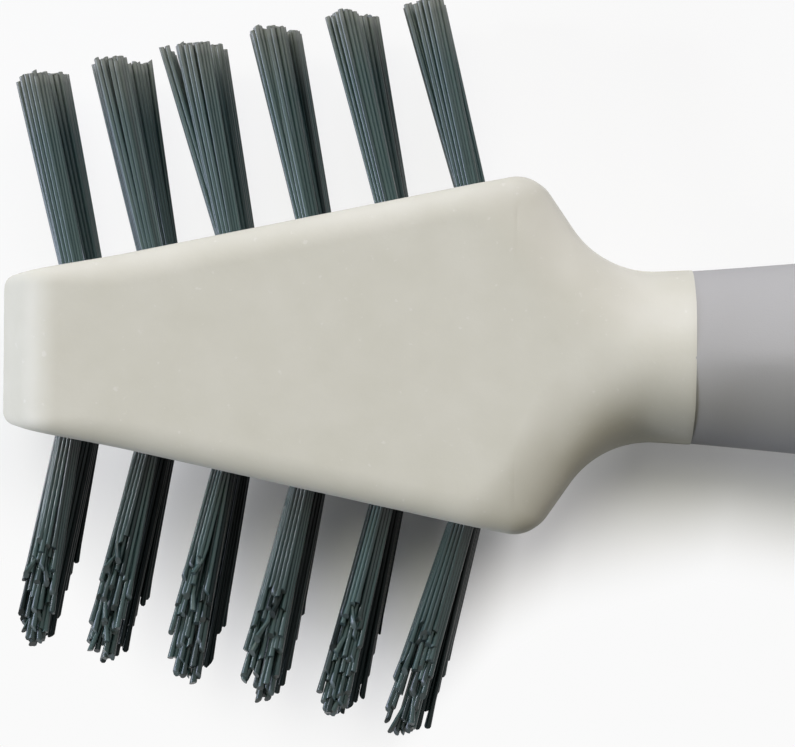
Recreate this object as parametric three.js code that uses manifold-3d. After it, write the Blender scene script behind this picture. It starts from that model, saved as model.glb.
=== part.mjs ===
// Two-sided grout brush: an ivory head that tapers to its nose, with a double row of bristle tufts along each
// sloping side, on a grey handle with a hanging hole. One side is trimmed flat and the other to a V.
// Millimetres, +Z up. The brush lies on its back, with +X from the nose to the handle's end.
// The origin is on the head's flat back face, on the brush's centre line.
import * as THREE from "three";
import { mergeVertices } from "three/addons/utils/BufferGeometryUtils.js";
import Module from "manifold-3d";

const wasm = await Module();
wasm.setup();

// Clearances between pieces that seat in each other
const fitGap = 0.3;
const wireGap = 0.15;
const cutProud = 1; // how far a cut starts outside the face that it opens
const joinDepth = 0.5; // how far one form starts inside the form that it is joined to

// Head in plan
const noseWidth = 11.9; // between the sloping sides, on the nose line
const noseCorner = 1.6;
const bladeLength = 44.3; // nose to shoulder corner
const shoulderWidth = 29.95;
const shoulderCorner = 3;
const shoulderRun = 5.6; // shoulder corner to the foot of its slope
const neckWidth = 13.55; // at the foot of the slope
const neckCurve = 8;
const neckLength = 7.3; // foot of the slope to the seam
const seamWidth = 14.25;
const backCentre = 25; // nose to the middle of the flat back face

// Head from the side
const headThickness = 14;
const noseHeight = 5; // flat end of the nose
const noseEase = 2; // round between that end and the sloping nose faces
const noseSlope = 3.6; // length of the sloping nose faces
const browRound = 4.5; // round between the nose faces and the flat faces

// Rounds of the head's long edges, in from the side and down from the face. They grow from the nose to the
// blade, and from the shoulder to the neck, where they meet in a full round.
const noseEdgeWidth = 0.8;
const noseEdgeDepth = 0.6;
const bladeEdgeWidth = 2.5;
const bladeEdgeDepth = 1.3;
const bladeEdgeFrom = 12; // nose line to where the edge has the blade's round
const neckEdgeEarly = 0.7; // how far before the shoulder corner the edge starts to grow to the neck's round
const neckWidthAfter = 4.2; // shoulder corner to where it is as wide as the neck's round
const neckDepthAfter = 8.2; // shoulder corner to where it is as deep

// Handle
const handleLength = 140;
const bellyWidth = 20.2;
const bellyAt = 46; // from the seam
const waistWidth = 17;
const waistFromEnd = 36;
const endWidth = 18.6;
const endRound = 13; // length of the rounded end
const hangHole = 8; // diameter
const hangHoleWeb = 7; // hole to the handle's end

// Spigot on the head, in the handle's socket
const spigotWidth = 9.6;
const spigotHeight = 8.6;
const spigotCorner = 2;
const spigotLength = 26;
const spigotChamfer = 0.8;

// Tufts
const tuftsPerRow = 6;
const firstTuft = 5.85; // nose line to the first tuft
const lastTuft = 5.6; // last tuft to the shoulder corner
const tuftDiameter = 2.4;
const rowWeb = 2.6; // between the tufts of the front row and the rear row
const rootDepth = 5.2;
const sliceThickness = 1; // slice of the head's side that joins a row
const sliceMargin = 0.25; // slice beyond the tufts

// Bristles
const strandWidth = 0.42; // across the corners
const strandSides = 3;
const outerStrands = 11;
const innerStrands = 5;
const ringPitch = 0.56; // outer ring to inner ring
const splay = THREE.MathUtils.degToRad(1.55); // lean of the outer ring
const flatLength = 15.9; // flat-trimmed side
const apexLength = 20.3; // V-trimmed side, on the head's mid plane
const vHalfAngle = THREE.MathUtils.degToRad(16.9);
const flatUneven = 0.3; // how far strand ends differ
const vUneven = 0.7;
const unevenTurn = 12.9898; // from one strand to the next
const unevenReach = 43758.5453;

// Wire anchors, which the tufts fold round
const wireHeight = 1.6;
const wireThickness = 0.4;
const wireBite = 0.3; // into the wall of the hole, at each end
const foldThickness = 0.7; // bristles under the wire

// Smoothness
const arcSteps = 5;
const faceSteps = 16; // across the head's faces
const cornerSteps = 5;
const barSteps = 8;
const holeSides = 24;
const rootSides = 10;
const leastFlat = 0.05; // keeps a fully round section from closing its flats
const leastStep = 0.05; // between the stations of a loft
const mergeWithin = 1e-4; // points this close are one point
const endCap = THREE.MathUtils.degToRad(10); // where the handle's rounded end is closed flat

const ivory = new THREE.MeshStandardMaterial({ color: 0xdedbd0, roughness: 0.55, metalness: 0 });
const grey = new THREE.MeshStandardMaterial({ color: 0xa6a6a8, roughness: 0.6, metalness: 0 });
const bristle = new THREE.MeshStandardMaterial({ color: 0x46585a, roughness: 0.5, metalness: 0 });
const wire = new THREE.MeshStandardMaterial({ color: 0xb9b4a6, roughness: 0.35, metalness: 1 });

const halfThickness = headThickness / 2;
const seamAt = bladeLength + shoulderRun + neckLength;
const sideTangent = (shoulderWidth - noseWidth) / 2 / bladeLength;
const sideAngle = Math.atan(sideTangent);
const tuftPitch = (bladeLength - firstTuft - lastTuft) / (tuftsPerRow - 1) / Math.cos(sideAngle);
const rowOffset = (tuftDiameter + rowWeb) / 2;
const tuftRadius = tuftDiameter / 2;
const rootHole = tuftRadius + fitGap;
const wireLength = 2 * (rootHole + wireBite);
const wireDepth = rootDepth - foldThickness - wireGap - wireHeight / 2;
const outerRing = tuftRadius - strandWidth / 2;

function solidOf(geometry) {
  const bare = geometry.clone();
  bare.deleteAttribute("normal");
  bare.deleteAttribute("uv");
  const merged = mergeVertices(bare, mergeWithin);
  const triVerts = new Uint32Array(merged.index.array);
  const vertProperties = merged.attributes.position.array;
  return new wasm.Manifold(new wasm.Mesh({ numProp: 3, vertProperties, triVerts }));
}

function geometryOf(solid) {
  const mesh = solid.getMesh();
  const geometry = new THREE.BufferGeometry();
  geometry.setAttribute("position", new THREE.BufferAttribute(mesh.vertProperties, 3));
  geometry.setIndex(new THREE.BufferAttribute(mesh.triVerts, 1));
  geometry.computeVertexNormals();
  return geometry;
}

function join(geometries) {
  return geometries.map(solidOf).reduce((whole, piece) => whole.add(piece));
}

// A line through corners [x, y, radius], each rounded by its radius as far as the lines beside it allow.
function roundedPath(corners) {
  const points = corners.map(([x, y]) => new THREE.Vector2(x, y));
  const path = new THREE.Path();
  path.moveTo(points[0].x, points[0].y);
  for (let i = 1; i < points.length - 1; i++) {
    const arrive = points[i].clone().sub(points[i - 1]);
    const leave = points[i + 1].clone().sub(points[i]);
    const room = Math.min(arrive.length(), leave.length()) / 2;
    arrive.normalize();
    leave.normalize();
    const turn = Math.atan2(arrive.cross(leave), arrive.dot(leave));
    const spread = Math.tan(Math.abs(turn) / 2);
    const setback = Math.min(corners[i][2] * spread, room);
    const radius = setback / spread;
    const side = Math.sign(turn);
    const start = points[i].clone().addScaledVector(arrive, -setback);
    const centre = new THREE.Vector2(-arrive.y, arrive.x).multiplyScalar(side * radius).add(start);
    const from = Math.atan2(start.y - centre.y, start.x - centre.x);
    path.absarc(centre.x, centre.y, radius, from, from + turn, side < 0);
  }
  path.lineTo(points.at(-1).x, points.at(-1).y);
  return path;
}

// Height of a sampled line at x
function along(points, x) {
  let i = points.findIndex((p) => p.x >= x);
  i = i < 0 ? points.length - 1 : Math.max(i, 1);
  const [a, b] = [points[i - 1], points[i]];
  return a.y + ((b.y - a.y) * (x - a.x)) / Math.max(b.x - a.x, mergeWithin);
}

// Distance of a place from a sampled line
function distanceFrom(points, x, y) {
  const place = new THREE.Vector3(x, y, 0);
  const corners = points.map((p) => new THREE.Vector3(p.x, p.y, 0));
  const gaps = corners.slice(1).map((corner, i) => {
    const nearest = new THREE.Line3(corners[i], corner).closestPointToPoint(place, true, new THREE.Vector3());
    return nearest.distanceTo(place);
  });
  return Math.min(...gaps);
}

// Carries a path on at its height to one x, and from there smoothly to a new height at another x
function growTo(path, fromX, toX, height) {
  const middle = (fromX + toX) / 2;
  const start = path.currentPoint.y;
  path.lineTo(fromX, start);
  path.bezierCurveTo(middle, start, middle, height, toX, height);
}

// How a size of the long edges' round goes from the nose to the seam
function edgeGrowth(atNose, onBlade, neckAfter) {
  const path = new THREE.Path().moveTo(0, atNose);
  growTo(path, 0, bladeEdgeFrom, onBlade);
  growTo(path, bladeLength - neckEdgeEarly, bladeLength + neckAfter, halfThickness);
  path.lineTo(seamAt, halfThickness);
  return path.getPoints(arcSteps);
}

// A closed section across X: a rectangle whose corners are quarter ellipses
function roundedSection(halfWidth, halfHeight, cornerWidth, cornerHeight) {
  const across = Math.min(cornerWidth, halfWidth - leastFlat);
  const up = Math.min(cornerHeight, halfHeight - leastFlat);
  const points = [];
  for (const [quarter, sideY, sideZ] of [[0, 1, 1], [1, -1, 1], [2, -1, -1], [3, 1, -1]]) {
    for (let k = 0; k <= cornerSteps; k++) {
      const angle = ((quarter + k / cornerSteps) * Math.PI) / 2;
      const y = sideY * (halfWidth - across) + across * Math.cos(angle);
      const z = sideZ * (halfHeight - up) + up * Math.sin(angle);
      points.push([y, z]);
    }
  }
  return points;
}

// A closed skin through sections [x, points], which all have as many points. A section's points run over its
// top from +Y to -Y and back along its underside, and its ends are closed by strips from top to underside.
function loft(sections) {
  const positions = sections.flatMap(([x, points]) => points.flatMap(([y, z]) => [x, y, z]));
  const count = sections[0][1].length;
  const last = (sections.length - 1) * count;
  const index = [];
  for (let s = 0; s < last; s += count) {
    for (let k = 0; k < count; k++) {
      const a = s + k;
      const b = s + ((k + 1) % count);
      index.push(a, b, a + count, b, b + count, a + count);
    }
  }
  for (let a = 0; a < count / 2 - 1; a++) {
    const [b, c, d] = [a + 1, count - 2 - a, count - 1 - a];
    index.push(a, c, b, a, d, c);
    index.push(last + a, last + b, last + c, last + a, last + c, last + d);
  }
  const geometry = new THREE.BufferGeometry();
  geometry.setAttribute("position", new THREE.Float32BufferAttribute(positions, 3));
  geometry.setIndex(index);
  return geometry;
}

// Stations of a loft: where any of the sampled lines has a point
function stations(...lines) {
  const all = lines.flat().map((p) => p.x).sort((a, b) => a - b);
  return all.filter((x, i) => i === 0 || x - all[i - 1] > leastStep);
}

// The head's blade and neck, in its own frame: nose line at x 0, centre line on the X axis.
function headBlank() {
  const nose = [0, noseWidth / 2, noseCorner];
  const shoulder = [bladeLength, shoulderWidth / 2, shoulderCorner];
  const foot = [bladeLength + shoulderRun, neckWidth / 2, neckCurve];
  const seam = [seamAt, seamWidth / 2];
  const plan = roundedPath([[0, 0], nose, shoulder, foot, seam]).getPoints(arcSteps).slice(1);
  const longEdge = roundedPath([nose, shoulder, foot, seam]).getPoints(arcSteps);
  const profile = roundedPath([
    [0, 0],
    [0, noseHeight / 2, noseEase],
    [noseSlope, halfThickness, browRound],
    [seamAt, halfThickness],
  ]).getPoints(arcSteps).slice(1);
  const widths = edgeGrowth(noseEdgeWidth, bladeEdgeWidth, neckWidthAfter);
  const depths = edgeGrowth(noseEdgeDepth, bladeEdgeDepth, neckDepthAfter);
  const sections = stations(plan, profile, widths, depths).map((x) => {
    const share = along(profile, x) / halfThickness;
    const top = [];
    for (let k = 0; k <= faceSteps; k++) {
      const y = along(plan, x) * Math.cos((Math.PI * k) / faceSteps);
      const inside = distanceFrom(longEdge, x, Math.abs(y)) / along(widths, x);
      const fall = 1 - Math.sqrt(1 - Math.max(1 - inside, 0) ** 2);
      const height = halfThickness - along(depths, x) * fall;
      top.push([y, Math.max(height * share, leastFlat)]);
    }
    const underside = top.map(([y, z]) => [y, -z]).reverse();
    return [x, [...top, ...underside]];
  });
  return loft(sections);
}

// The spigot from one end to the other, grown by a clearance to make its socket
function spigot(from, to, clearance) {
  const section = (inset) => {
    const halfWidth = spigotWidth / 2 + clearance - inset;
    const halfHeight = spigotHeight / 2 + clearance - inset;
    const corner = spigotCorner + clearance;
    return roundedSection(halfWidth, halfHeight, corner, corner);
  };
  return loft([
    [from, section(0)],
    [to - spigotChamfer, section(0)],
    [to, section(spigotChamfer)],
  ]);
}

// A bar with round ends along a row, from one depth to another below the row's face
function rowBar(halfWidth, from, to) {
  const reach = tuftPitch * (tuftsPerRow - 1);
  const outline = new THREE.Shape();
  outline.absarc(0, 0, halfWidth, Math.PI / 2, (3 * Math.PI) / 2);
  outline.absarc(reach, 0, halfWidth, -Math.PI / 2, Math.PI / 2);
  const options = { depth: to - from, bevelEnabled: false, curveSegments: barSteps };
  const bar = new THREE.ExtrudeGeometry(outline, options);
  return bar.rotateX(Math.PI / 2).translate(0, -from, 0);
}

// A post that hangs from one depth to another below the row's face, at a tuft
function rootPost(radius, from, to, tuft) {
  const post = new THREE.CylinderGeometry(radius, radius, to - from, rootSides);
  return post.translate(tuft * tuftPitch, -(from + to) / 2, 0);
}

// A block round a tuft's wire, grown by a clearance
function wireBlock(clearance, tuft) {
  const grown = 2 * clearance;
  const block = new THREE.BoxGeometry(wireLength + grown, wireHeight + grown, wireThickness + grown);
  return block.translate(tuft * tuftPitch, -wireDepth, 0);
}

const tufts = [...Array(tuftsPerRow).keys()];

// What is cut from the head for one row: the seat of its slice, the root holes and the cuts of the wires
function rowCut() {
  const cuts = [rowBar(tuftRadius + sliceMargin + fitGap, -cutProud, sliceThickness + fitGap)];
  for (const tuft of tufts) {
    cuts.push(rootPost(rootHole, 0, rootDepth + fitGap, tuft));
    cuts.push(wireBlock(wireGap, tuft));
  }
  return geometryOf(join(cuts));
}

// A number from -1 to 1 that differs from strand to strand and is the same in every build
let strandsMade = 0;
function uneven() {
  strandsMade += 1;
  const wave = unevenReach * Math.sin(strandsMade * unevenTurn);
  return 2 * (wave - Math.floor(wave)) - 1;
}

// Length of a strand that starts at an offset from the head's mid plane and leans away from it
function strandLength(vTrimmed, offset, lean) {
  if (!vTrimmed) return flatLength + flatUneven * uneven();
  const drop = 1 / Math.tan(vHalfAngle);
  return (apexLength - drop * offset) / (1 + drop * lean) + vUneven * uneven();
}

// One strand, from inside the slice to its tip
function strand(x, z, leanX, leanZ, length) {
  const lean = new THREE.Vector3(leanX, 1, leanZ);
  const root = new THREE.Vector3(x, 0, z).addScaledVector(lean, -joinDepth);
  const tip = new THREE.Vector3(x, 0, z).addScaledVector(lean, length);
  const run = tip.clone().sub(root);
  const upright = new THREE.Vector3(0, 1, 0);
  const turn = new THREE.Quaternion().setFromUnitVectors(upright, run.clone().normalize());
  const middle = root.add(tip).multiplyScalar(0.5);
  const shaft = new THREE.CylinderGeometry(strandWidth / 2, strandWidth / 2, run.length(), strandSides);
  return shaft.applyQuaternion(turn).translate(middle.x, middle.y, middle.z);
}

// One row of tufts: its strands, the slice that joins them, and the folded roots with room for the wires.
// The row's face is at y 0, and outward, 1 or -1, is the way along Z from the head's mid plane to the row.
function tuftRow(vTrimmed, outward) {
  const pieces = [rowBar(tuftRadius + sliceMargin, 0, sliceThickness)];
  for (const tuft of tufts) {
    pieces.push(rootPost(tuftRadius, sliceThickness - joinDepth, rootDepth, tuft));
    for (const [ring, count] of [[outerRing, outerStrands], [outerRing - ringPitch, innerStrands]]) {
      for (let k = 0; k < count; k++) {
        const angle = (2 * Math.PI * k) / count;
        const lean = (Math.tan(splay) * ring) / outerRing;
        const [x, z] = [ring * Math.cos(angle), ring * Math.sin(angle)];
        const [leanX, leanZ] = [lean * Math.cos(angle), lean * Math.sin(angle)];
        const length = strandLength(vTrimmed, rowOffset + outward * z, outward * leanZ);
        pieces.push(strand(tuft * tuftPitch + x, z, leanX, leanZ, length));
      }
    }
  }
  const slots = join(tufts.map((tuft) => wireBlock(wireGap, tuft)));
  return geometryOf(join(pieces).subtract(slots));
}

// The handle, in its own frame: seam end at x 0
function handle() {
  const rounded = handleLength - endRound;
  const width = new THREE.Path();
  width.moveTo(0, seamWidth / 2);
  width.splineThru([
    new THREE.Vector2(bellyAt, bellyWidth / 2),
    new THREE.Vector2(handleLength - waistFromEnd, waistWidth / 2),
    new THREE.Vector2(rounded, endWidth / 2),
  ]);
  width.absellipse(rounded, 0, endRound, endWidth / 2, Math.PI / 2, endCap, true);
  const plan = width.getPoints(arcSteps);
  const sections = stations(plan).map((x) => {
    const past = Math.max(x - rounded, 0) / endRound;
    const halfHeight = halfThickness * Math.sqrt(1 - past * past);
    const halfWidth = along(plan, x);
    return [x, roundedSection(halfWidth, halfHeight, halfWidth, halfHeight)];
  });
  const socket = spigot(-cutProud, spigotLength, fitGap);
  const hole = new THREE.CylinderGeometry(hangHole / 2, hangHole / 2, 2 * headThickness, holeSides);
  hole.rotateX(Math.PI / 2).translate(handleLength - hangHoleWeb - hangHole / 2, 0, 0);
  return geometryOf(solidOf(loft(sections)).subtract(solidOf(socket)).subtract(solidOf(hole)));
}

function mesh(name, geometry, material) {
  const made = new THREE.Mesh(geometry, material);
  made.name = name;
  return made;
}

// A frame on each sloping side: +X along the row from the first tuft, +Y out of the side
function sideFrame(turned) {
  const side = new THREE.Group();
  side.rotation.x = turned ? Math.PI : 0;
  const face = new THREE.Group();
  face.position.set(firstTuft, noseWidth / 2 + firstTuft * sideTangent, 0);
  face.rotation.z = sideAngle;
  side.add(face);
  side.updateMatrixWorld(true);
  return { side, face };
}

const brush = new THREE.Group();
brush.position.set(-backCentre, 0, halfThickness);

let headSolid = join([headBlank(), spigot(seamAt - joinDepth, seamAt + spigotLength, 0)]);

// The upper side is trimmed flat. The lower side is the same side turned over, trimmed to a V.
for (const [sideName, vTrimmed] of [["upper", false], ["lower", true]]) {
  const { side, face } = sideFrame(vTrimmed);
  for (const [rowName, outward] of [["front", vTrimmed ? -1 : 1], ["rear", vTrimmed ? 1 : -1]]) {
    const row = new THREE.Group();
    row.position.z = outward * rowOffset;
    face.add(row);
    side.updateMatrixWorld(true);
    headSolid = headSolid.subtract(solidOf(rowCut().applyMatrix4(row.matrixWorld)));
    row.add(mesh(`${sideName}_${rowName}_tufts`, tuftRow(vTrimmed, outward), bristle));
    for (const tuft of tufts) {
      row.add(mesh(`${sideName}_${rowName}_anchor_${tuft + 1}`, wireBlock(0, tuft), wire));
    }
  }
  brush.add(side);
}
brush.add(mesh("brush_head", geometryOf(headSolid), ivory));

const handleMesh = mesh("handle", handle(), grey);
handleMesh.position.x = seamAt + fitGap;
brush.add(handleMesh);

export default brush;
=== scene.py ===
"""Looks of the grout brush: a smooth ivory head, a grey soft-touch handle and full bristle tufts."""
import math
import random

import bmesh
import bpy
from mathutils import Matrix, Vector


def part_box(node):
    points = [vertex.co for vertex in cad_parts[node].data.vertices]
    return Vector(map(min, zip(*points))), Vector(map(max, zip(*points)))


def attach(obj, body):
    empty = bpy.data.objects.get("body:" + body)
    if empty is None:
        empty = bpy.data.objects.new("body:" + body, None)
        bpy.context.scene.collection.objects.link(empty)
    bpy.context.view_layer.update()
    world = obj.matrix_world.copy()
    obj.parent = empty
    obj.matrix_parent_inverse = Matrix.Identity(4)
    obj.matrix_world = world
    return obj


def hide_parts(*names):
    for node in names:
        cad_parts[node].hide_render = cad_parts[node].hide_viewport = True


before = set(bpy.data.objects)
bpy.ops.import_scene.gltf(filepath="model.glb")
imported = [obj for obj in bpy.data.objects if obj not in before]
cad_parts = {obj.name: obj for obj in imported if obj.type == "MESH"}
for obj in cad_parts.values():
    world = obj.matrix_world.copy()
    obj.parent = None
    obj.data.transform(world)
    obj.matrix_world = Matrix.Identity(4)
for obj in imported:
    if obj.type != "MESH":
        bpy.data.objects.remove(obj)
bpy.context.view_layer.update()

MM = 0.001

# Places taken from the frame, in millimetres
NOSE_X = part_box("brush_head")[0][0] / MM
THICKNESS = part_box("brush_head")[1][2] / MM
HANDLE_X, END_X = (corner[0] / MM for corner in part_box("handle"))
MID_Z = THICKNESS / 2

# Head in plan, in millimetres from the nose line
NOSE_WIDTH = 11.9
NOSE_CORNER = 1.6
BLADE_LENGTH = 44.3
SHOULDER_WIDTH = 29.95
SHOULDER_CORNER = 3.0
SHOULDER_RUN = 5.6
NECK_WIDTH = 13.55
NECK_CURVE = 8.0
NECK_LENGTH = 7.3
SEAM_WIDTH = 14.25
SEAM_X = NOSE_X + BLADE_LENGTH + SHOULDER_RUN + NECK_LENGTH
SIDE_TANGENT = (SHOULDER_WIDTH - NOSE_WIDTH) / 2 / BLADE_LENGTH
SIDE_ANGLE = math.atan(SIDE_TANGENT)

# Head from the side
NOSE_HEIGHT = 5.0
NOSE_EASE = 2.0
NOSE_SLOPE = 3.6
BROW_ROUND = 4.5
# Round of the edge: its width, its depth, and a power that is 2 for an ellipse and more for a softer start
NOSE_EDGE = (0.8, 0.6, 2.0)  # at the nose line
BLADE_EDGE = (2.5, 1.3, 2.0)  # along the blade
SHOULDER_EDGE = (8.0, 3.9, 2.5)  # on the shoulder's slope
NECK_EDGE = (MID_Z, MID_Z, 2.0)  # at the neck, which is fully round
EDGE_GROWS = ((0.0, 12.0), (38.5, 47.0), (47.0, 54.0))  # where each of these grows into the next
FACE_CORNER = 11.0  # radius of the shoulder corner where the round runs out into the face
FACE_CORNER_FROM = 5.0  # distance from the edge at which the corner is that wide
DRAFT = 0.04  # the walls lean in by this share of their height, above and below the parting line
WALL_TOP = 0.9  # share of the wall's height that is below the edge's round
PARTING = 0.05  # height of the mould's parting line
PARTING_FOOT = 0.1  # it runs out into the wall over this height, or this share of a wall below 1 mm
SEAM_ROUND = 0.03
SEAM_STEP = 0.02  # from the head down to the handle
THINNEST = 0.01  # least height of the head above its mid plane

# Faces of the head
OUTLINE_SPACING = 0.3
OUTLINE_ARC_STEPS = 16
PROFILE_SPACING = 0.1
PROFILE_ARC_STEPS = 30
NOSE_REACH = 1.3  # rings of faces that follow the outline reach this far in at the nose
EDGE_REACH = 2.7  # and this far along the blade
EDGE_STEPS = 14
FACE_STEPS = 24
CUT_EDGE = math.radians(35)  # faces that meet at more than this have a sharp edge

# Handle, in millimetres from the seam
BELLY_WIDTH = 20.2
BELLY_AT = 46.0
WAIST_WIDTH = 17.0
WAIST_FROM_END = 36.0
END_WIDTH = 18.6
END_ROUND = 13.0
GRIP_ROOF = (1.85, 1.5)  # power of the section at the seam and behind it: below 2 it has a soft crest
GRIP_ROOF_RUN = 5.0
HANDLE_LENGTH = 140.0
HANG_HOLE = 8.0
HANG_HOLE_WEB = 7.0
HANG_RIM = 1.3  # round of the hole's rim
HANG_CLEAR = 2.0  # of the hole's cutter above the handle

# Faces of the handle
SEAM_STEPS = 6
CURVE_STEPS = 30
END_STEPS = 40
END_ARC = math.radians(86)  # of the end's round, which a small flat closes
GRIP_SIDES = 64
HANG_SIDES = 48
RIM_STEPS = 8

# Tufts, in millimetres and degrees
TUFTS = 6
FIRST_TUFT = 5.85
LAST_TUFT = 5.6
TUFT_PITCH = (BLADE_LENGTH - FIRST_TUFT - LAST_TUFT) / (TUFTS - 1) / math.cos(SIDE_ANGLE)
TUFT_DIAMETER = 2.4
ROW_OFFSET = 2.5
HOLE_DIAMETER = 2.5
HOLE_DEPTH = 5.5
HOLE_CLEAR = 1.0  # of the hole's cutter outside the head
HOLE_SIDES = 24
FILAMENT = 0.37
FILAMENT_SWELL = 1.15  # how much wider a filament is at the flat side's length
FILAMENT_PITCH = 0.305
FILAMENT_SIDES = 8
FILAMENT_STEPS = 8
FILAMENT_ROOT = 2.0
FILAMENT_EDGE = math.radians(50)  # faces that meet at more than this have a sharp edge
SPLAY = {1: math.radians(2.4), -1: math.radians(2.5)}  # on the flat side and on the V side
CLUMPS = 6  # filaments of a tuft hold together in clumps
CLUMP_HOLD = 0.6  # how much of the splay a clump takes as a whole
CLUMP_LEAN = math.radians(0.45)
CLUMP_TONE = (0.2, 0.8)
OWN_TONE = 0.22  # how much single filaments of a clump differ in tone
OWN_LEAN = 0.002  # and in lean, in radians
BOW = 0.04  # of a filament over the flat side's length
FLAT_LENGTH = 15.9
FLAT_UNEVEN = (0.09, 0.1)  # of clumps and of single filaments
FLAT_DOME = 0.3  # filaments at a tuft's edge are this much shorter
FLAT_DOME_POWER = 4
FLAT_CUT = 0.2  # slope of the cut ends
V_LONG = 17.5  # at the edge of a tuft that is nearest to the head's mid plane
V_SHORT = {1: 7.2, -1: 7.7}  # at the edge that is furthest from it, by row
V_FLAT = {1: 0.55, -1: 0.3}  # of a tuft's radius, on the side of the mid plane, is cut to the full length
V_POINT = 1.2  # filaments at a tuft's sides are this much shorter
V_UNEVEN = (0.33, 0.4)
V_TIP_LIGHT = 0.3  # of the painted pale ends on the V side, where it is 1 on the flat side: painted light showing through the tips, weaker on the V side, which lies in shade
V_CUT_ASIDE = 0.4  # slope of the cut ends along the row
V_CUT_OUT = (0.4, 1.5)  # and away from the mid plane
CUT_FLARE = 1.28  # of the ends that are cut to the V
CUT_FLARE_VARIES = (0.9, 1.1)
BENT_SHARE = 0.13  # of the filaments on the V side have a bent end
BENT_LENGTH = 2.2
BENT_WITHIN = 0.5  # of a tuft's radius from its middle
BENT_ASIDE = (0.25, 0.65)
BENT_OUT = (0.1, 0.4)
# The darker ranges of the rear rows and the V side are painted shade, where the front row and the head shade
# them; within a range the tone is random.
TONES_AND_PAINTED_SHADE = {  # of the darkest and the palest filaments, by side and row
    (1, 1): (0.25, 1.0), (1, -1): (0.08, 0.58), (-1, 1): (0.05, 0.64), (-1, -1): (0.01, 0.15),
}
LEANS = {  # of each tuft towards the nose, by side and row
    (1, 1): (0.6, 1.7, 0.0, 1.3, 2.4, 2.4), (1, -1): (1.0, -0.5, -0.3, -0.3, 0.5, 3.4),
    (-1, 1): (-0.9, 1.9, 0.6, 1.2, 1.8, 4.9), (-1, -1): (0.0, 1.2, -0.6, 0.6, 0.7, 2.9),
}
ROW_SHIFT = {(1, 1): 0.0, (1, -1): 0.4, (-1, 1): -0.15, (-1, -1): 0.28}  # along the side
LENGTHENED = {  # how much longer each tuft on the flat side is, by row
    1: (0.2, 0.15, 0.0, 0.0, 0.0, -0.4), -1: (0.8, 0.3, 0.3, 0.3, 0.2, -0.1),
}
SPREAD_TUFT = 2  # on the flat side's front row, filaments of this tuft lean out towards the nose
SPREAD_LEAN = math.radians(4.4)
SPREAD_ALONG = -0.35  # of the radius: filaments nearer to the nose than this
SPREAD_ACROSS = 0.3  # and further back than this
SEED = 7  # of the filaments' unevenness


def rounded_path(corners, spacing, arc_steps):
    """Points and headings along a line through (x, y, radius) corners, each rounded by its radius."""
    path = []
    last = Vector(corners[0][:2])
    for before, corner, after in zip(corners, corners[1:], corners[2:]):
        here = Vector(corner[:2])
        arrive = (here - Vector(before[:2])).normalized()
        leave = (Vector(after[:2]) - here).normalized()
        turn = math.atan2(arrive.x * leave.y - arrive.y * leave.x, arrive.dot(leave))
        setback = corner[2] * math.tan(abs(turn) / 2)
        start = here - arrive * setback
        centre = start + Vector((-arrive.y, arrive.x)) * math.copysign(corner[2], turn)
        path += straight(last, start, spacing)
        for k in range(arc_steps):
            spin = Matrix.Rotation(turn * k / arc_steps, 2)
            path.append((centre + spin @ (start - centre), spin @ arrive))
        last = here + leave * setback
    end = Vector(corners[-1][:2])
    path += straight(last, end, spacing)
    path.append((end, (end - last).normalized()))
    return path


def straight(start, end, spacing):
    """Points and headings from a start up to, and without, an end."""
    run = end - start
    count = max(math.ceil(run.length / spacing), 1)
    return [(start + run * k / count, run.normalized()) for k in range(count)]


def height_at(points, x):
    """Height of a line through points at x."""
    for a, b in zip(points, points[1:]):
        if x <= b.x and b.x > a.x:
            return a.y + (b.y - a.y) * (x - a.x) / (b.x - a.x)
    return points[-1].y


def smooth_curve(knots, steps):
    """Points of a Catmull-Rom curve from the first knot up to, and without, the last."""
    points = []
    padded = [knots[0]] + knots + [knots[-1]]
    for knot in zip(padded, padded[1:], padded[2:], padded[3:]):
        for t in [k / steps for k in range(steps)]:
            points.append(Vector([
                0.5 * (2 * b + (c - a) * t + (2 * a - 5 * b + 4 * c - d) * t**2
                       + (3 * b - 3 * c + d - a) * t**3)
                for a, b, c, d in zip(*knot)]))
    return points


def quarter_turn(steps):
    """Angles from 0 to 90 degrees."""
    return [math.radians(90) * k / steps for k in range(steps + 1)]


def full_turn(steps):
    """Angles all round, from 0 up to, and without, 360 degrees."""
    return [2 * math.pi * k / steps for k in range(steps)]


def smoothstep(x, low, high):
    """A soft rise from 0 at low to 1 at high."""
    t = min(max((x - low) / (high - low), 0.0), 1.0)
    return t * t * (3 - 2 * t)


def lerp(a, b, t):
    """The value that is a share t of the way from a to b."""
    return a + (b - a) * t


def new_object(name, bm, material):
    """A smooth-shaded object from a bmesh in millimetres."""
    mesh = bpy.data.meshes.new(name)
    bmesh.ops.recalc_face_normals(bm, faces=bm.faces)
    bmesh.ops.scale(bm, vec=(MM, MM, MM), verts=bm.verts)
    bm.to_mesh(mesh)
    bm.free()
    obj = bpy.data.objects.new(name, mesh)
    bpy.context.scene.collection.objects.link(obj)
    mesh.materials.append(material)
    mesh.polygons.foreach_set("use_smooth", [True] * len(mesh.polygons))
    return obj


def bridge(bm, near, far):
    """Faces between two closed rings of vertices."""
    count = len(near)
    for k in range(count):
        n = (k + 1) % count
        bm.faces.new((near[k], near[n], far[n], far[k]))


def cut(obj, cutter):
    """Cuts one object by another, which is then removed."""
    modifier = obj.modifiers.new("cut", "BOOLEAN")
    modifier.operation = "DIFFERENCE"
    modifier.solver = "EXACT"
    modifier.object = cutter
    graph = bpy.context.evaluated_depsgraph_get()
    made = bpy.data.meshes.new_from_object(obj.evaluated_get(graph))
    obj.modifiers.clear()
    obj.data = made
    bpy.data.objects.remove(cutter)
    made.set_sharp_from_angle(angle=CUT_EDGE)


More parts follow.
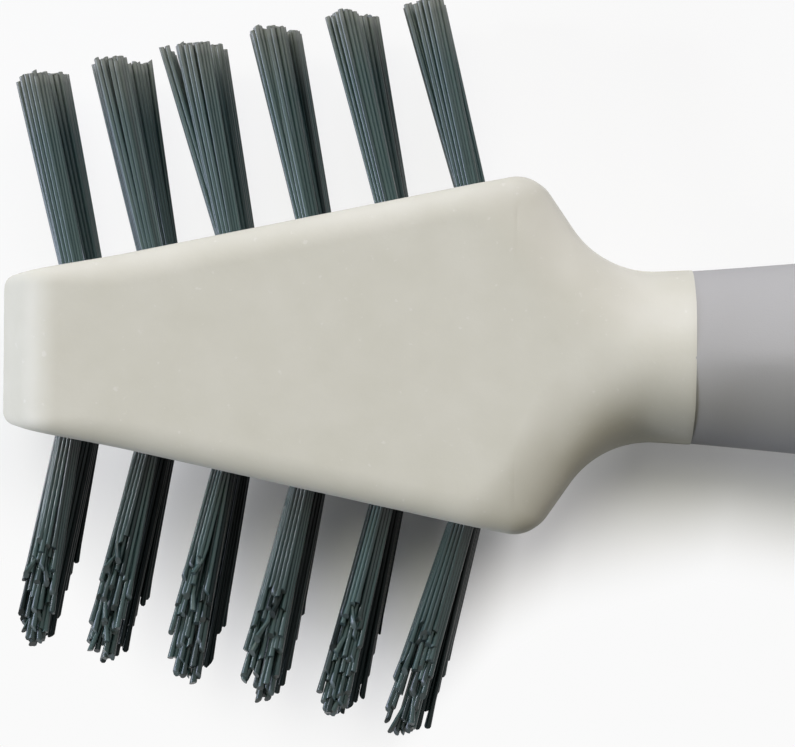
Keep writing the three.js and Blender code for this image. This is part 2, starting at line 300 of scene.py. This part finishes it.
def side_frame(side):
    """Where a sloping side's rows start, and its directions along the row and out of the side."""
    cos, sin = math.cos(SIDE_ANGLE), math.sin(SIDE_ANGLE)
    start = Vector((NOSE_X + FIRST_TUFT, side * (NOSE_WIDTH / 2 + FIRST_TUFT * SIDE_TANGENT), MID_Z))
    row = Vector((cos, side * sin, 0))
    out = Vector((-sin, side * cos, 0))
    return start, row, out


def tuft_base(side, across, tuft):
    """Middle of a tuft's hole in the sloping side."""
    start, row, _ = side_frame(side)
    return start + row * (tuft * TUFT_PITCH + ROW_SHIFT[side, across]) + Vector((0, 0, across * ROW_OFFSET))


def seam_squeeze(distance):
    """How far the small round at the seam draws a surface in, at a distance from the seam."""
    if distance >= SEAM_ROUND:
        return 0.0
    return SEAM_ROUND - math.sqrt(max(SEAM_ROUND**2 - (SEAM_ROUND - distance)**2, 0))


class Plan:
    """The head's outline above its centre line, and how far inside it a point is."""

    def __init__(self):
        self.foot = Vector((BLADE_LENGTH + SHOULDER_RUN, NECK_WIDTH / 2))
        self.corner = Vector((BLADE_LENGTH, SHOULDER_WIDTH / 2))
        self.seam = Vector((SEAM_X - NOSE_X, SEAM_WIDTH / 2))
        self.slope = (self.foot - self.corner).normalized()
        self.neck = (self.seam - self.foot).normalized()
        self.spread = self.slope.dot(Vector((math.cos(SIDE_ANGLE), math.sin(SIDE_ANGLE))))
        turn = self.slope.angle_signed(self.neck)
        self.setback = NECK_CURVE * math.tan(abs(turn) / 2)
        start = self.foot - self.slope * self.setback
        self.centre = start + Vector((-self.slope.y, self.slope.x)) * NECK_CURVE
        self.path = rounded_path([
            (0, 0),
            (0, NOSE_WIDTH / 2, NOSE_CORNER),
            (*self.corner, SHOULDER_CORNER),
            (*self.foot, NECK_CURVE),
            tuple(self.seam),
        ], OUTLINE_SPACING, OUTLINE_ARC_STEPS)
        self.path = [p for p in self.path if p[0].y > NOSE_WIDTH / 2 - NOSE_CORNER]

    @staticmethod
    def inside_blade(point):
        """Distance from the sloping side's line."""
        return (NOSE_WIDTH / 2 + SIDE_TANGENT * point.x - point.y) * math.cos(SIDE_ANGLE)

    def inside_neck(self, point):
        """Distance from the curve of the shoulder's slope and the neck."""
        arm = point - self.foot
        if arm.dot(self.slope) < -self.setback and arm.dot(self.neck) < self.setback:
            return arm.x * self.slope.y - arm.y * self.slope.x
        if arm.dot(self.neck) > self.setback:
            return arm.x * self.neck.y - arm.y * self.neck.x
        return (point - self.centre).length - NECK_CURVE

    def inside(self, point, corner=SHOULDER_CORNER):
        """Distance from the long edge: the sloping side, the shoulder corner, its slope and the neck."""
        blade = corner - self.inside_blade(point)
        neck = corner - self.inside_neck(point)
        past = max(blade, neck)
        if min(blade, neck) > past * self.spread:
            past = math.sqrt((blade**2 + neck**2 - 2 * blade * neck * self.spread) / (1 - self.spread**2))
        return corner - past

    def inside_softly(self, point):
        """The same distance, with a wider corner further in."""
        near = self.inside(point)
        return lerp(near, self.inside(point, FACE_CORNER), smoothstep(near, 0, FACE_CORNER_FROM))

    def height(self, point):
        """Half the thickness at a point, after the round of the edges."""
        edge = NOSE_EDGE
        for next_edge, (start, end) in zip((BLADE_EDGE, SHOULDER_EDGE, NECK_EDGE), EDGE_GROWS):
            share = smoothstep(point.x, start, end)
            edge = [lerp(size, next_size, share) for size, next_size in zip(edge, next_edge)]
        width, depth, power = edge
        width = min(width, self.inside(Vector((point.x, 0))))
        past = min(max(1 - self.inside_softly(point) / width, 0), 1)
        return MID_Z - depth * (1 - (1 - past**power)**(1 / power))


def make_head(material):
    """The ivory head, with its tuft holes cut."""
    plan = Plan()
    seam = plan.seam.x
    profile = rounded_path([
        (0, 0),
        (0, NOSE_HEIGHT / 2, NOSE_EASE),
        (NOSE_SLOPE, MID_Z, BROW_ROUND),
        (seam, MID_Z),
    ], PROFILE_SPACING, PROFILE_ARC_STEPS)
    profile = [point for point, _ in profile]
    bm = bmesh.new()
    rings = []
    for point, heading in plan.path:
        inward = Vector((heading.y, -heading.x))
        reach = lerp(NOSE_REACH, EDGE_REACH, smoothstep(point.x, *EDGE_GROWS[0]))
        wall = plan.height(point)
        squeeze = seam_squeeze(seam - point.x)
        lean = inward * DRAFT * wall * smoothstep(point.x, *EDGE_GROWS[0])
        levels = [(point, PARTING_FOOT * min(wall, 1.0)), (point + WALL_TOP * lean, WALL_TOP * wall)]
        for turn in quarter_turn(EDGE_STEPS):
            spot = point + inward * (reach * (1 - math.cos(turn)))
            levels.append((spot + lean, plan.height(spot)))
        inner = point + inward * reach
        for k in range(1, FACE_STEPS):
            spot = Vector((inner.x, inner.y * (1 - k / FACE_STEPS)))
            levels.append((spot + lean * (1 - k / FACE_STEPS), plan.height(spot)))
        spots = []
        for spot, height in levels:
            share = height_at(profile, spot.x) / MID_Z
            spot = spot + inward * squeeze
            spots.append((NOSE_X + spot.x, spot.y, max(height * share - squeeze, THINNEST)))
        middle = point - inward * (PARTING - squeeze)
        ring = spots + [(x, -y, z) for x, y, z in reversed(spots)]
        ring += [(NOSE_X + middle.x, -middle.y, 0)]
        ring += [(x, -y, -z) for x, y, z in spots] + [(x, y, -z) for x, y, z in reversed(spots)]
        ring += [(NOSE_X + middle.x, middle.y, 0)]
        rings.append([bm.verts.new((x, y, MID_Z + z)) for x, y, z in ring])
    for near, far in zip(rings, rings[1:]):
        bridge(bm, near, far)
    # The nose is closed by strips from one side to the other, and the seam by one face
    first = rings[0]
    count = len(levels)
    upper = first[:count][::-1] + [first[-1]] + first[3 * count + 1:-1][::-1]
    lower = first[count:2 * count] + [first[2 * count]] + first[2 * count + 1:3 * count + 1]
    for k in range(len(upper) - 1):
        bm.faces.new((upper[k], upper[k + 1], lower[k + 1], lower[k]))
    bm.faces.new(rings[-1])
    head = new_object("head", bm, material)
    cut(head, make_tuft_holes(material))
    return head


def make_tuft_holes(material):
    """The shapes that are cut from the head's sloping sides."""
    cutter = bmesh.new()
    for side in (1, -1):
        out = side_frame(side)[2]
        turn = out.to_track_quat("Z", "Y").to_matrix().to_4x4()
        for across in (1, -1):
            for tuft in range(TUFTS):
                mouth = tuft_base(side, across, tuft)
                place = Matrix.Translation(mouth + out * (HOLE_CLEAR - HOLE_DEPTH) / 2) @ turn
                bmesh.ops.create_cone(cutter, cap_ends=True, segments=HOLE_SIDES, radius1=HOLE_DIAMETER / 2,
                                      radius2=HOLE_DIAMETER / 2, depth=HOLE_DEPTH + HOLE_CLEAR, matrix=place)
    return new_object("holes", cutter, material)


def make_handle(material):
    """The grey handle, with a belly, a waist, a soft crest, a rounded end and a hanging hole."""
    length = END_X - SEAM_X
    rounded = length - END_ROUND
    outline = smooth_curve([
        (0, SEAM_WIDTH / 2 - SEAM_STEP),
        (BELLY_AT, BELLY_WIDTH / 2),
        (length - WAIST_FROM_END, WAIST_WIDTH / 2),
        (rounded, END_WIDTH / 2),
    ], CURVE_STEPS)
    for turn in [END_ARC * k / END_STEPS for k in range(END_STEPS + 1)]:
        outline.append(Vector((rounded + END_ROUND * math.sin(turn), END_WIDTH / 2 * math.cos(turn))))
    xs = {SEAM_ROUND * (1 - math.cos(turn)) for turn in quarter_turn(SEAM_STEPS)}
    xs |= {point.x for point in outline if point.x > SEAM_ROUND}
    bm = bmesh.new()
    rings = []
    for x in sorted(xs):
        squeeze = seam_squeeze(x)
        past = max(x - rounded, 0) / END_ROUND
        half_width = height_at(outline, x) - squeeze
        half_height = (MID_Z - SEAM_STEP) * math.sqrt(max(1 - past * past, 0)) - squeeze
        power = lerp(*GRIP_ROOF, smoothstep(x, 0, GRIP_ROOF_RUN))
        ring = []
        for angle in full_turn(GRIP_SIDES):
            roof = math.copysign(math.sqrt(max(1 - abs(math.cos(angle))**power, 0)), math.sin(angle))
            place = (SEAM_X + x, half_width * math.cos(angle), MID_Z + half_height * roof)
            ring.append(bm.verts.new(place))
        rings.append(ring)
    for near, far in zip(rings, rings[1:]):
        bridge(bm, near, far)
    bm.faces.new(rings[0])
    bm.faces.new(rings[-1])
    handle = new_object("grip", bm, material)
    cut(handle, make_hang_hole(material))
    return handle


def make_hang_hole(material):
    """The shape that is cut from the handle: a hole with a rounded rim on both faces."""
    radius = HANG_HOLE / 2
    shape = [(radius + HANG_RIM * (1 - math.cos(turn)), MID_Z - HANG_RIM + HANG_RIM * math.sin(turn))
             for turn in quarter_turn(RIM_STEPS)]
    shape.append((radius + HANG_RIM, MID_Z + HANG_CLEAR))
    shape = [(r, -z) for r, z in reversed(shape)] + shape
    centre = Vector((HANDLE_X + HANDLE_LENGTH - HANG_HOLE_WEB - radius, 0, MID_Z))
    cutter = bmesh.new()
    loops = []
    for r, z in shape:
        spots = [Vector((r * math.cos(angle), r * math.sin(angle), z)) for angle in full_turn(HANG_SIDES)]
        loops.append([cutter.verts.new(centre + spot) for spot in spots])
    for low, high in zip(loops, loops[1:]):
        bridge(cutter, low, high)
    cutter.faces.new(loops[0])
    cutter.faces.new(loops[-1])
    return new_object("hang_hole", cutter, material)


def packed(radius, pitch, turn):
    """Places of filaments packed side by side in a round hole."""
    places = []
    reach = math.ceil(radius / pitch) + 1
    for j in range(-reach, reach + 1):
        for i in range(-reach, reach + 1):
            spot = Vector((i + j / 2, j * math.sqrt(3) / 2)) * pitch
            if spot.length <= radius:
                places.append(Matrix.Rotation(turn, 2) @ spot)
    return places


class Clump:
    """Filaments of a tuft that hold together: their middle, lean, extra length and tone."""

    def __init__(self, radius, uneven, rng):
        angle = rng.uniform(0, 2 * math.pi)
        self.centre = Vector((math.cos(angle), math.sin(angle))) * radius * math.sqrt(rng.random())
        self.lean = Vector((rng.gauss(0, CLUMP_LEAN), rng.gauss(0, CLUMP_LEAN)))
        self.longer = rng.gauss(0, uneven)
        self.tone = rng.uniform(*CLUMP_TONE)


def add_filament(bm, layers, places, radii, tilt, tone, tip_light):
    """A round filament through places, each with its radius. Its end is cut at a tilt and painted pale, as
    light showing through it.
    """
    strand_layer, along_layer, cut_layer = layers
    rings = []
    for step, ((centre, u_axis, v_axis, out), radius) in enumerate(zip(places, radii)):
        ring = []
        for angle in full_turn(FILAMENT_SIDES):
            du, dv = radius * math.cos(angle), radius * math.sin(angle)
            lift = -(du * tilt[0] + dv * tilt[1]) if step == len(places) - 1 else 0
            vert = bm.verts.new(centre + u_axis * du + v_axis * dv + out * lift)
            vert[strand_layer] = tone
            # How far along the filament a ring is, scaled by the share of painted end light: it sets the
            # painted pale end and its dullness.
            vert[along_layer] = tip_light * max(step - 1, 0) / (len(places) - 2)
            ring.append(vert)
        rings.append(ring)
    for low, high in zip(rings, rings[1:]):
        bridge(bm, low, high)
    bm.faces.new(rings[0])
    # The cut face gets the painted end light at the same share.
    bm.faces.new(rings[-1])[cut_layer] = tip_light


def make_row(name, side, across, material, rng):
    """One row of tufts. Across is 1 for the front row and -1 for the rear row."""
    _, row, out = side_frame(side)
    up = Vector((0, 0, 1))
    v_trimmed = side < 0
    clump_uneven, own_uneven = V_UNEVEN if v_trimmed else FLAT_UNEVEN
    bm = bmesh.new()
    layers = (bm.verts.layers.float.new("strand"), bm.verts.layers.float.new("along"),
              bm.faces.layers.float.new("cut"))
    radius = TUFT_DIAMETER / 2 - FILAMENT / 2
    for tuft in range(TUFTS):
        base = tuft_base(side, across, tuft)
        lean = -math.radians(LEANS[side, across][tuft])
        clumps = [Clump(radius, clump_uneven, rng) for _ in range(CLUMPS)]
        for spot in packed(radius, FILAMENT_PITCH, rng.uniform(0, math.pi)):
            clump = min(clumps, key=lambda c: (spot - c.centre).length)
            splay = spot.lerp(clump.centre, CLUMP_HOLD) * SPLAY[side] / radius + clump.lean
            slant = Vector((lean + splay.x + rng.gauss(0, OWN_LEAN), splay.y + rng.gauss(0, OWN_LEAN)))
            bow = Vector((rng.gauss(0, BOW), rng.gauss(0, BOW)))
            length = clump.longer + rng.gauss(0, own_uneven)
            bend = Vector((0, 0))
            if v_trimmed:
                outer = max(across * spot.y / radius + 1 - V_FLAT[across], 0) / (2 - V_FLAT[across])
                length += lerp(V_LONG, V_SHORT[across], outer) - V_POINT * (spot.x / radius)**2
                tilt = (rng.gauss(0, V_CUT_ASIDE), across * rng.uniform(*V_CUT_OUT))
                flare = CUT_FLARE * rng.uniform(*CUT_FLARE_VARIES)
                if rng.random() < BENT_SHARE and abs(spot.x) < BENT_WITHIN * radius:
                    bend.x = rng.choice((-1, 1)) * rng.uniform(*BENT_ASIDE)
                    bend.y = across * rng.uniform(*BENT_OUT)
            else:
                length += FLAT_LENGTH + LENGTHENED[across][tuft]
                length -= FLAT_DOME * (spot.length / radius)**FLAT_DOME_POWER
                tilt = (rng.gauss(0, FLAT_CUT), rng.gauss(0, FLAT_CUT))
                flare = 1.0
                spreads = spot.x < SPREAD_ALONG * radius and spot.y < SPREAD_ACROSS * radius
                if tuft == SPREAD_TUFT and across > 0 and spreads:
                    slant.x -= SPREAD_LEAN
            levels = [-FILAMENT_ROOT] + [length * k / FILAMENT_STEPS for k in range(FILAMENT_STEPS + 1)]
            places, radii = [], []
            for level in levels:
                rise = max(level, 0)
                end = max(rise - length + BENT_LENGTH, 0) / BENT_LENGTH
                aside = spot + slant * rise + bow * (rise / FLAT_LENGTH)**2 + bend * end**2
                places.append((base + row * aside.x + out * level + up * aside.y, row, up, out))
                radii.append(FILAMENT / 2 * lerp(1, FILAMENT_SWELL, rise / FLAT_LENGTH))
            radii[-1] *= flare
            # Tone of a filament: painted shade by side and row, with random differences of clump and
            # filament.
            tone = lerp(*TONES_AND_PAINTED_SHADE[side, across], min(max(clump.tone + rng.gauss(0, OWN_TONE), 0), 1))
            # Ends on the V side, which lies in shade, get less painted end light.
            add_filament(bm, layers, places, radii, tilt, tone, V_TIP_LIGHT if v_trimmed else 1.0)
    piece = new_object(name, bm, material)
    piece.data.set_sharp_from_angle(angle=FILAMENT_EDGE)
    return piece


def principled(name, colour, roughness, specular=0.5):
    """A material, its nodes and its shader."""
    material = bpy.data.materials.new(name)
    material.use_nodes = True
    shader = material.node_tree.nodes["Principled BSDF"]
    shader.inputs["Base Color"].default_value = (*colour, 1)
    shader.inputs["Roughness"].default_value = roughness
    shader.inputs["Specular IOR Level"].default_value = specular
    return material, material.node_tree, shader


def node(tree, kind, **settings):
    """A new node with its settings."""
    made = tree.nodes.new(kind)
    for key, value in settings.items():
        setattr(made, key, value)
    return made


def noise(tree, scale, detail=2.0):
    """A noise in object space, with a scale in repeats per metre."""
    place = node(tree, "ShaderNodeTexCoord")
    made = node(tree, "ShaderNodeTexNoise")
    made.inputs["Scale"].default_value = scale
    made.inputs["Detail"].default_value = detail
    tree.links.new(place.outputs["Object"], made.inputs["Vector"])
    return made


def ramp(tree, source, stops):
    """A colour ramp on a value: stops are (position, colour)."""
    made = node(tree, "ShaderNodeValToRGB")
    elements = made.color_ramp.elements
    elements[0].position, elements[0].color = stops[0][0], (*stops[0][1], 1)
    elements[1].position, elements[1].color = stops[-1][0], (*stops[-1][1], 1)
    for position, colour in stops[1:-1]:
        elements.new(position).color = (*colour, 1)
    tree.links.new(source, made.inputs["Fac"])
    return made


def bump(tree, shader, source, distance, strength):
    """A relief on a shader, with its height in metres."""
    made = node(tree, "ShaderNodeBump")
    made.inputs["Distance"].default_value = distance
    made.inputs["Strength"].default_value = strength
    tree.links.new(source, made.inputs["Height"])
    tree.links.new(made.outputs["Normal"], shader.inputs["Normal"])


def dot(tree, source, axis):
    """How far a place is along an axis."""
    made = node(tree, "ShaderNodeVectorMath", operation="DOT_PRODUCT")
    made.inputs[1].default_value = axis
    tree.links.new(source, made.inputs[0])
    return made.outputs["Value"]


def map_range(tree, source, near, far, top, rise="SMOOTHSTEP", clamp=True, bottom=0.0):
    """A rise of a value from bottom at near to top at far."""
    made = node(tree, "ShaderNodeMapRange", interpolation_type=rise, clamp=clamp)
    made.inputs["From Min"].default_value = near
    made.inputs["From Max"].default_value = far
    made.inputs["To Min"].default_value = bottom
    made.inputs["To Max"].default_value = top
    tree.links.new(source, made.inputs["Value"])
    return made.outputs["Result"]


def join(tree, operation, a, b):
    """Two values joined by a sum, a quotient or the like."""
    made = node(tree, "ShaderNodeMath", operation=operation)
    tree.links.new(a, made.inputs[0])
    tree.links.new(b, made.inputs[1])
    return made.outputs[0]


def blend(tree, factor, base, colour):
    """A base colour that turns into another by a factor."""
    made = node(tree, "ShaderNodeMix", data_type="RGBA")
    made.inputs["B"].default_value = (*colour, 1)
    tree.links.new(factor, made.inputs["Factor"])
    tree.links.new(base, made.inputs["A"])
    return made.outputs["Result"]


def ivory_plastic():
    """Satin plastic with a cloudy tint, a fine mould grain and tiny paler specks."""
    material, tree, shader = principled("ivory_plastic", (0.538, 0.53, 0.417), roughness=0.55, specular=0.3)
    cloud = noise(tree, scale=250, detail=6)
    tint = ramp(tree, cloud.outputs["Fac"], [(0.3, (0.521, 0.513, 0.4)), (0.7, (0.555, 0.547, 0.434))])
    speck = noise(tree, scale=1500, detail=3)
    specks = map_range(tree, speck.outputs["Fac"], near=0.66, far=0.76, top=0.5)
    specked = blend(tree, specks, tint.outputs["Color"], (0.64, 0.63, 0.54))
    tree.links.new(specked, shader.inputs["Base Color"])
    grain = noise(tree, scale=2200, detail=4)
    bump(tree, shader, grain.outputs["Fac"], distance=0.00003, strength=0.3)
    return material


def grey_grip():
    """Soft-touch plastic with a faint cloudy tint and a fine grain."""
    material, tree, shader = principled("grey_grip", (0.354, 0.353, 0.315), roughness=0.75, specular=0.08)
    cloud = noise(tree, scale=50, detail=3)
    tint = ramp(tree, cloud.outputs["Fac"], [(0.35, (0.346, 0.345, 0.307)), (0.65, (0.362, 0.361, 0.323))])
    tree.links.new(tint.outputs["Color"], shader.inputs["Base Color"])
    grain = noise(tree, scale=7000, detail=2)
    bump(tree, shader, grain.outputs["Fac"], distance=0.00004, strength=0.3)
    return material


def bristle_nylon():
    """Teal-grey nylon: filaments differ in tone, at random and as painted shade; ends are duller and painted
    paler, as light showing through them; and some light goes through.
    """
    material, tree, shader = principled("bristle_nylon", (0.04, 0.064, 0.06), roughness=0.14, specular=0.42)
    strand, along, end = (node(tree, "ShaderNodeAttribute", attribute_name=name).outputs["Fac"]
                          for name in ("strand", "along", "cut"))
    # The darkest filaments, which carry the painted shade of the rear rows, also reflect less.
    gloss = map_range(tree, strand, near=0.0, far=0.18, top=0.42, rise="LINEAR")
    tree.links.new(gloss, shader.inputs["Specular IOR Level"])
    dullness = map_range(tree, along, near=0.1, far=0.3, bottom=0.14, top=0.26)
    tree.links.new(dullness, shader.inputs["Roughness"])
    tone = ramp(tree, strand, [
        (0.0, (0.003, 0.006, 0.006)),
        (0.35, (0.03, 0.057, 0.051)),
        (0.75, (0.051, 0.092, 0.082)),
        (1.0, (0.074, 0.114, 0.099)),
    ])
    # Paler, warmer ends and cut faces: painted light showing through the ends of the filaments.
    tip = map_range(tree, along, near=0.62, far=1.0, top=0.75)
    colour = blend(tree, tip, tone.outputs["Color"], (0.125, 0.145, 0.115))
    painted_tip_end = map_range(tree, along, near=0.93, far=1.0, top=0.55)
    colour = blend(tree, painted_tip_end, colour, (0.25, 0.265, 0.22))
    colour = blend(tree, end, colour, (0.085, 0.105, 0.102))
    tree.links.new(colour, shader.inputs["Base Color"])
    glow = node(tree, "ShaderNodeBsdfTranslucent")
    tree.links.new(colour, glow.inputs["Color"])
    through = node(tree, "ShaderNodeMixShader")
    through.inputs["Fac"].default_value = 0.12
    tree.links.new(shader.outputs[0], through.inputs[1])
    tree.links.new(glow.outputs[0], through.inputs[2])
    tree.links.new(through.outputs[0], tree.nodes["Material Output"].inputs["Surface"])
    return material


def anchor_steel():
    """Drawn wire with fine streaks."""
    material, tree, shader = principled("anchor_steel", (0.48, 0.45, 0.38), roughness=0.35)
    shader.inputs["Metallic"].default_value = 1.0
    streak = noise(tree, scale=4000, detail=2)
    bump(tree, shader, streak.outputs["Fac"], distance=0.00001, strength=0.3)
    return material


def seen_directly(tree):
    """1 on rays from the camera, a mirror or glass, and 0 on the rays that carry light."""
    path = node(tree, "ShaderNodeLightPath")
    seen = path.outputs["Is Camera Ray"]
    for ray in ("Is Glossy Ray", "Is Transmission Ray"):
        either = node(tree, "ShaderNodeMath", operation="MAXIMUM")
        tree.links.new(seen, either.inputs[0])
        tree.links.new(path.outputs[ray], either.inputs[1])
        seen = either.outputs[0]
    return seen


# Lamps, far away: name, compass, height and spread in degrees, and the light of each on a face turned to it
LAMPS = (
    ("window", 192, 12, 35, (0.66, 0.7, 0.95)),
    ("glint", 175, 25, 6, (0.18, 0.18, 0.19)),
    ("sky", 90, 30, 35, (0.69, 0.7, 0.92)),
    ("back", 45, 42, 35, (0.3, 0.27, 0.29)),
    ("ceiling", 110, 62, 35, (0.3, 0.295, 0.235)),
)
FLOOR_BOUNCE = (0.37, 0.37, 0.355)  # of the floor's light on the brush
FLOOR_SEEN = (0.935, 0.945, 0.865)  # of the floor that the camera sees, where it is in shadow
BACKDROP = (0.955, 0.955, 0.955)  # of the open floor
LIT_SIDE = (-6.0, 6.0)  # mm across the brush, from its shadow to the side that the lamps light
LIT_SHARE = 0.86  # of that side that is plain backdrop
# The shadow fades into the backdrop: mm along the V side from its first tuft, how far the brush's edge is
# set back there, the share of backdrop at that edge, and how far from it the shadow reaches
SHADOW = (
    (-4.0, 0.0, 0.62, 13.0), (2.0, 0.0, 0.57, 17.5), (9.0, 0.0, 0.33, 23.0), (16.0, 0.0, 0.14, 25.5),
    (22.5, 0.0, 0.05, 26.5), (31.0, 0.0, 0.03, 26.5), (34.5, 0.0, 0.18, 19.0), (36.0, 0.0, 0.25, 16.5),
    (38.5, 0.0, 0.43, 11.5), (42.5, 5.6, 0.29, 13.3), (46.3, 8.3, 0.2, 14.2), (55.0, 9.5, 0.25, 10.6),
)
SHADOW_SCALE = 30.0  # mm, of the set back and the reach in the shadow's ramp
SHADOW_FADES_FROM = 0.1  # of its reach
FLOOR_SIZE = 4000.0  # mm
FLOOR_DROP = 0.02  # mm, below the brush

# Camera, in millimetres and degrees
CAMERA_EYE = (24.0, 0.18, 182.0)
CAMERA_TARGET = (7.96, -1.61, 7.0)
CAMERA_ROLL = 0.65
CAMERA_LENS = 95.5
CAMERA_SENSOR = 36.0
CAMERA_CLIP = 10.0


def make_floor():
    """A pale floor that keeps the brush's shadow and is plain backdrop further off."""
    bm = bmesh.new()
    bmesh.ops.create_grid(bm, x_segments=1, y_segments=1, size=FLOOR_SIZE)
    material, tree, bounce = principled("floor_white", FLOOR_BOUNCE, roughness=0.9, specular=0.0)
    shaded = node(tree, "ShaderNodeBsdfDiffuse")
    shaded.inputs["Color"].default_value = (*FLOOR_SEEN, 1)
    plain = node(tree, "ShaderNodeEmission")
    plain.inputs["Color"].default_value = (*BACKDROP, 1)
    place = node(tree, "ShaderNodeTexCoord")
    split = node(tree, "ShaderNodeSeparateXYZ")
    tree.links.new(place.outputs["Object"], split.inputs[0])
    lit = map_range(tree, split.outputs["Y"], LIT_SIDE[0] * MM, LIT_SIDE[1] * MM, LIT_SHARE)
    first_tuft, row, out = side_frame(-1)
    offset = node(tree, "ShaderNodeVectorMath", operation="SUBTRACT")
    offset.inputs[1].default_value = first_tuft * MM
    tree.links.new(place.outputs["Object"], offset.inputs[0])
    along, away = (dot(tree, offset.outputs[0], axis) for axis in (row, out))
    first, last = SHADOW[0][0], SHADOW[-1][0]
    spot = map_range(tree, along, first * MM, last * MM, 1.0, "LINEAR")
    stops = [((at - first) / (last - first), (back / SHADOW_SCALE, share, reach / SHADOW_SCALE))
             for at, back, share, reach in SHADOW]
    sizes = node(tree, "ShaderNodeSeparateColor")
    tree.links.new(ramp(tree, spot, stops).outputs["Color"], sizes.inputs[0])
    distance = map_range(tree, away, 0.0, SHADOW_SCALE * MM, 1.0, "LINEAR", clamp=False)
    past = join(tree, "DIVIDE", join(tree, "ADD", distance, sizes.outputs["Red"]), sizes.outputs["Blue"])
    fade = node(tree, "ShaderNodeMix")
    tree.links.new(map_range(tree, past, SHADOW_FADES_FROM, 1.0, 1.0), fade.inputs["Factor"])
    tree.links.new(sizes.outputs["Green"], fade.inputs["A"])
    fade.inputs["B"].default_value = 1.0
    looks = node(tree, "ShaderNodeMixShader")
    tree.links.new(join(tree, "MAXIMUM", fade.outputs["Result"], lit), looks.inputs[0])
    tree.links.new(shaded.outputs[0], looks.inputs[1])
    tree.links.new(plain.outputs[0], looks.inputs[2])
    mix = node(tree, "ShaderNodeMixShader")
    tree.links.new(seen_directly(tree), mix.inputs[0])
    tree.links.new(bounce.outputs[0], mix.inputs[1])
    tree.links.new(looks.outputs[0], mix.inputs[2])
    tree.links.new(mix.outputs[0], tree.nodes["Material Output"].inputs["Surface"])
    floor = new_object("floor", bm, material)
    floor.location.z = -FLOOR_DROP * MM


def make_world():
    """Plain white where it is seen or mirrored, and dark on the rays that carry light."""
    world = bpy.data.worlds.new("studio")
    bpy.context.scene.world = world
    world.use_nodes = True
    tree = world.node_tree
    tree.links.new(seen_directly(tree), tree.nodes["Background"].inputs["Strength"])
    tree.nodes["Background"].inputs["Color"].default_value = (1, 1, 1, 1)


def make_lamps():
    """Soft lamps from a few sides."""
    for name, compass, height, spread, light in LAMPS:
        lamp = bpy.data.lights.new(name, "SUN")
        lamp.energy = math.pi * max(light)
        lamp.color = [share / max(light) for share in light]
        lamp.angle = math.radians(spread)
        level = math.cos(math.radians(height))
        bearing = math.radians(compass)
        rise = math.sin(math.radians(height))
        toward = Vector((level * math.cos(bearing), level * math.sin(bearing), rise))
        placed = bpy.data.objects.new(name, lamp)
        placed.rotation_euler = toward.to_track_quat("Z", "Y").to_euler()
        bpy.context.scene.collection.objects.link(placed)


def make_camera():
    """A camera above the head, turned as the photograph is."""
    eye = Vector(CAMERA_EYE) * MM
    target = Vector(CAMERA_TARGET) * MM
    data = bpy.data.cameras.new("camera")
    data.sensor_fit = "HORIZONTAL"
    data.sensor_width = CAMERA_SENSOR
    data.lens = CAMERA_LENS
    data.clip_start = CAMERA_CLIP * MM
    camera = bpy.data.objects.new("camera", data)
    back = (eye - target).normalized()
    right = Vector((0, 1, 0)).cross(back).normalized()
    up = back.cross(right)
    turn = Matrix((right, up, back)).transposed()
    roll = Matrix.Rotation(math.radians(CAMERA_ROLL), 3, "Z")
    camera.matrix_world = Matrix.Translation(eye) @ (turn @ roll).to_4x4()
    bpy.context.scene.collection.objects.link(camera)
    bpy.context.scene.camera = camera


ivory = ivory_plastic()
grey = grey_grip()
nylon = bristle_nylon()
steel = anchor_steel()

head = make_head(ivory)
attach(head, "root")
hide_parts("brush_head")

grip = make_handle(grey)
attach(grip, "root")
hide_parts("handle")

rng = random.Random(SEED)
for side_name, side in (("upper", 1), ("lower", -1)):
    for row_name, across in (("front", 1), ("rear", -1)):
        piece = make_row(f"{side_name}_{row_name}_bristles", side, across, nylon, rng)
        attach(piece, "root")
        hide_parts(f"{side_name}_{row_name}_tufts")

for name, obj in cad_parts.items():
    if "_anchor_" in name:
        obj.data.materials.clear()
        obj.data.materials.append(steel)

make_floor()
make_world()
make_lamps()
make_camera()
bpy.context.scene.view_settings.view_transform = "Standard"
